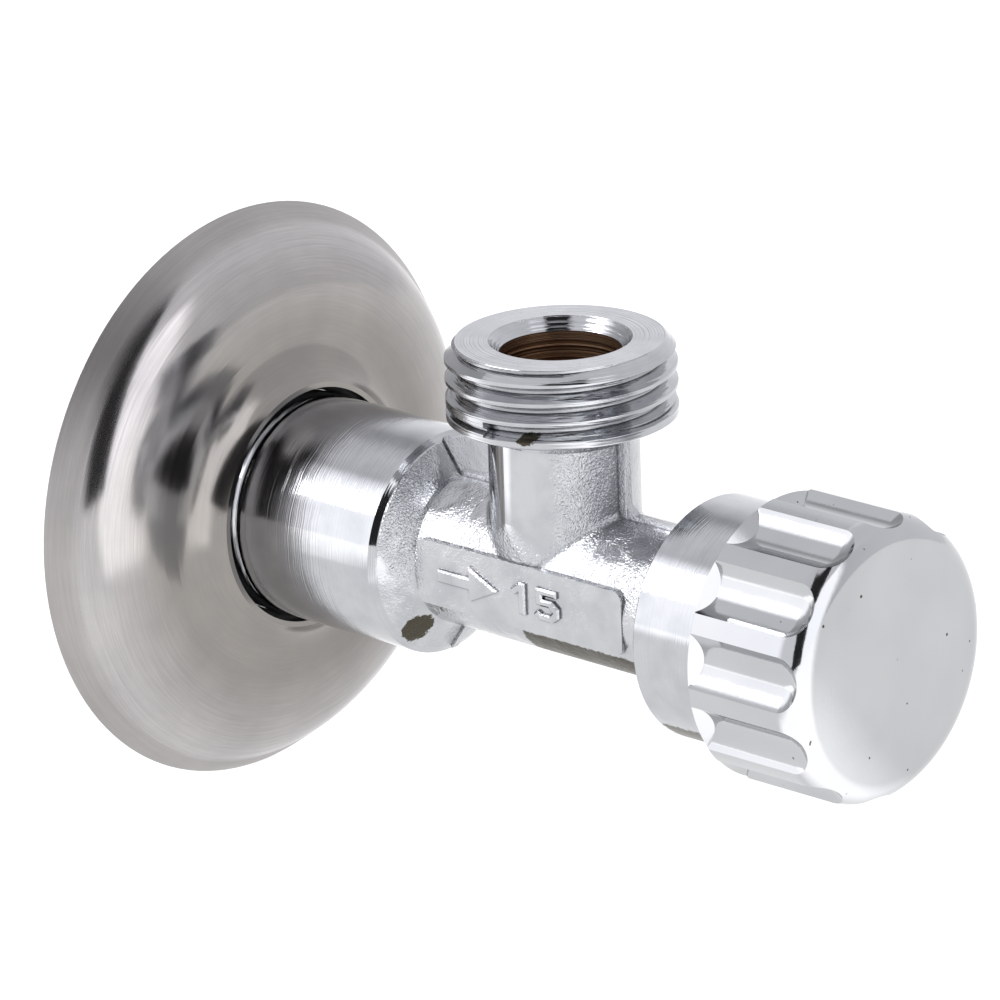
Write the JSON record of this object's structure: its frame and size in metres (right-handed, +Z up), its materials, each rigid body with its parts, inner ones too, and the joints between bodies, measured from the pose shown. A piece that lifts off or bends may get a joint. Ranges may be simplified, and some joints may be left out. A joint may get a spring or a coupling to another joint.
{
  "type": "angle stop valve",
  "caption": "Chromed angle stop valve with a wall rosette, a threaded inlet behind it, a threaded outlet at a right angle and a fluted handwheel on the end.",
  "frame": {"origin": "on the inlet axis, in the plane of the wall that the rosette's rim rests on", "axes": "+X along the valve from the wall to the handwheel, +Z up through the outlet"},
  "size_m": [0.091, 0.0542, 0.0542],
  "materials": {
    "chromed_brass": "polished",
    "stainless": "satin",
    "chromed_plastic": "polished",
    "brass": "turned",
    "steel": "bright",
    "rubber": "matt",
    "fibre": "matt",
    "low_friction_plastic": "matt"
  },
  "bodies": {
    "valve": {"valve_body": "chromed_brass", "wall_rosette": "stainless", "rosette_o_ring": "rubber", "bonnet": "brass", "bonnet_gasket": "fibre"},
    "handle": {"handwheel": "chromed_plastic", "handle_grip_ring": "steel", "spindle": "brass", "slip_washer": "low_friction_plastic", "spindle_o_ring_rear": "rubber", "spindle_o_ring_front": "rubber", "spindle_circlip": "steel"},
    "plug": {"valve_plug": "brass", "seat_washer": "rubber", "seat_screw_washer": "brass", "seat_screw": "steel"}
  },
  "joints": [
    {"name": "handle_turn", "type": "hinge", "parent": "valve", "child": "handle", "pos_m": [0.07, 0, 0], "axis": [1, 0, 0], "range_deg": [0, 1080]},
    {"name": "plug_slide", "type": "slide", "parent": "valve", "child": "plug", "axis": [1, 0, 0], "range_m": [0, 0.0045]}
  ],
  "couplings": [
    {"joint": "plug_slide", "follows": "handle_turn", "m_per_rad": 0.00023873}
  ]
}
